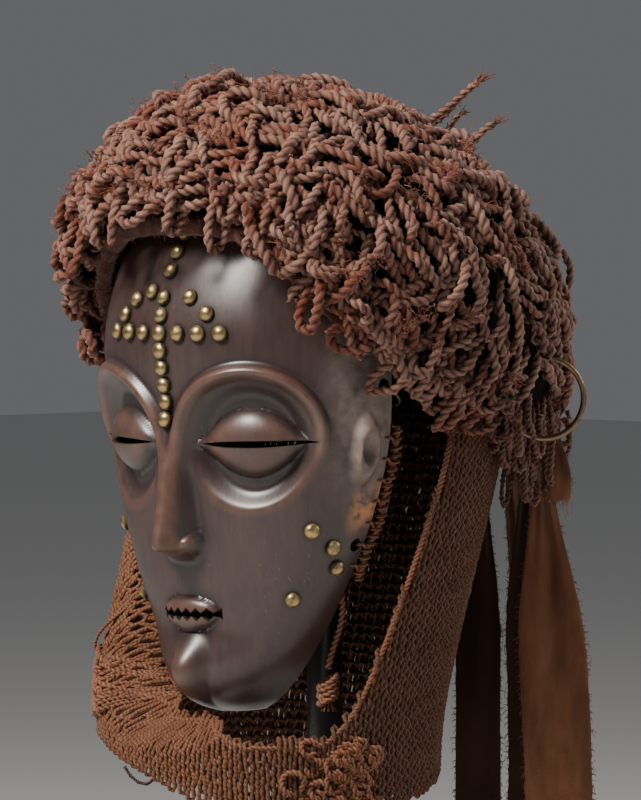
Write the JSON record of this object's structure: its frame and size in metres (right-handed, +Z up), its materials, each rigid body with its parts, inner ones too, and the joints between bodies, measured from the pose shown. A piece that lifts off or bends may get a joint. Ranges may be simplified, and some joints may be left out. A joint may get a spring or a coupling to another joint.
{
  "type": "carved dance mask on a stand",
  "caption": "Hollow carved wooden face mask with a corded coiffure, looped net collar, brass tacks, rings and cloth strips, held up by a padded post on a square foot.",
  "frame": {"origin": "centre of the foot's underside, on the axis of the post", "axes": "+Z up the post; the face looks along -Y; the mask's own left side is at +X"},
  "size_m": [0.2389, 0.2456, 0.4591],
  "materials": {
    "carved_wood": "dark brown-black patinated carved wood, handled smooth, with worn reddish ridges",
    "coiffure_cord": "coarse two-ply plant-fibre cord loops, grey-tan with red-ochre dust",
    "net_cord": "rust-brown looped plant-fibre netting",
    "lacing_cord": "rust-brown twisted plant-fibre cord",
    "strip_cloth": "worn brown woven cloth with frayed edges",
    "tack_brass": "dull dome tack with dark grime at its rim",
    "ring_bronze": "dark brown patinated wire",
    "ear_wire": "thin dark wire",
    "stand_metal": "black semi-gloss paint on steel",
    "support_padding": "dark felt over a shaped block"
  },
  "bodies": {
    "root": {"foot": "stand_metal", "post": "stand_metal", "head_support": "support_padding", "wooden_face": "carved_wood", "coiffure": "coiffure_cord", "net_collar": "net_cord", "hair_ring": "ring_bronze", "ear_ring": "ear_wire", "rim_lacing": "lacing_cord", "free_cord": "lacing_cord", "cord_knot": "lacing_cord", "strip_wide": "strip_cloth", "strip_frayed": "strip_cloth", "strip_narrow": "strip_cloth", "strip_dark": "strip_cloth", "strip_flap": "strip_cloth", "tack_line_1": "tack_brass", "tack_line_2": "tack_brass", "tack_line_3": "tack_brass", "tack_line_4": "tack_brass", "tack_line_5": "tack_brass", "tack_line_6": "tack_brass", "tack_line_7": "tack_brass", "tack_line_8": "tack_brass", "tack_line_9": "tack_brass", "tack_line_10": "tack_brass", "tack_line_11": "tack_brass", "tack_row_1": "tack_brass", "tack_row_2": "tack_brass", "tack_row_3": "tack_brass", "tack_row_4": "tack_brass", "tack_row_5": "tack_brass", "tack_row_6": "tack_brass", "tack_arc_1": "tack_brass", "tack_arc_2": "tack_brass", "tack_arc_3": "tack_brass", "tack_arc_4": "tack_brass", "tack_arc_5": "tack_brass", "tack_cheek_left_1": "tack_brass", "tack_cheek_left_2": "tack_brass", "tack_cheek_left_3": "tack_brass", "tack_cheek_left_4": "tack_brass", "tack_cheek_right_1": "tack_brass", "tack_cheek_right_2": "tack_brass", "tack_cheek_right_3": "tack_brass", "tack_cheek_right_4": "tack_brass"}
  },
  "joints": []
}
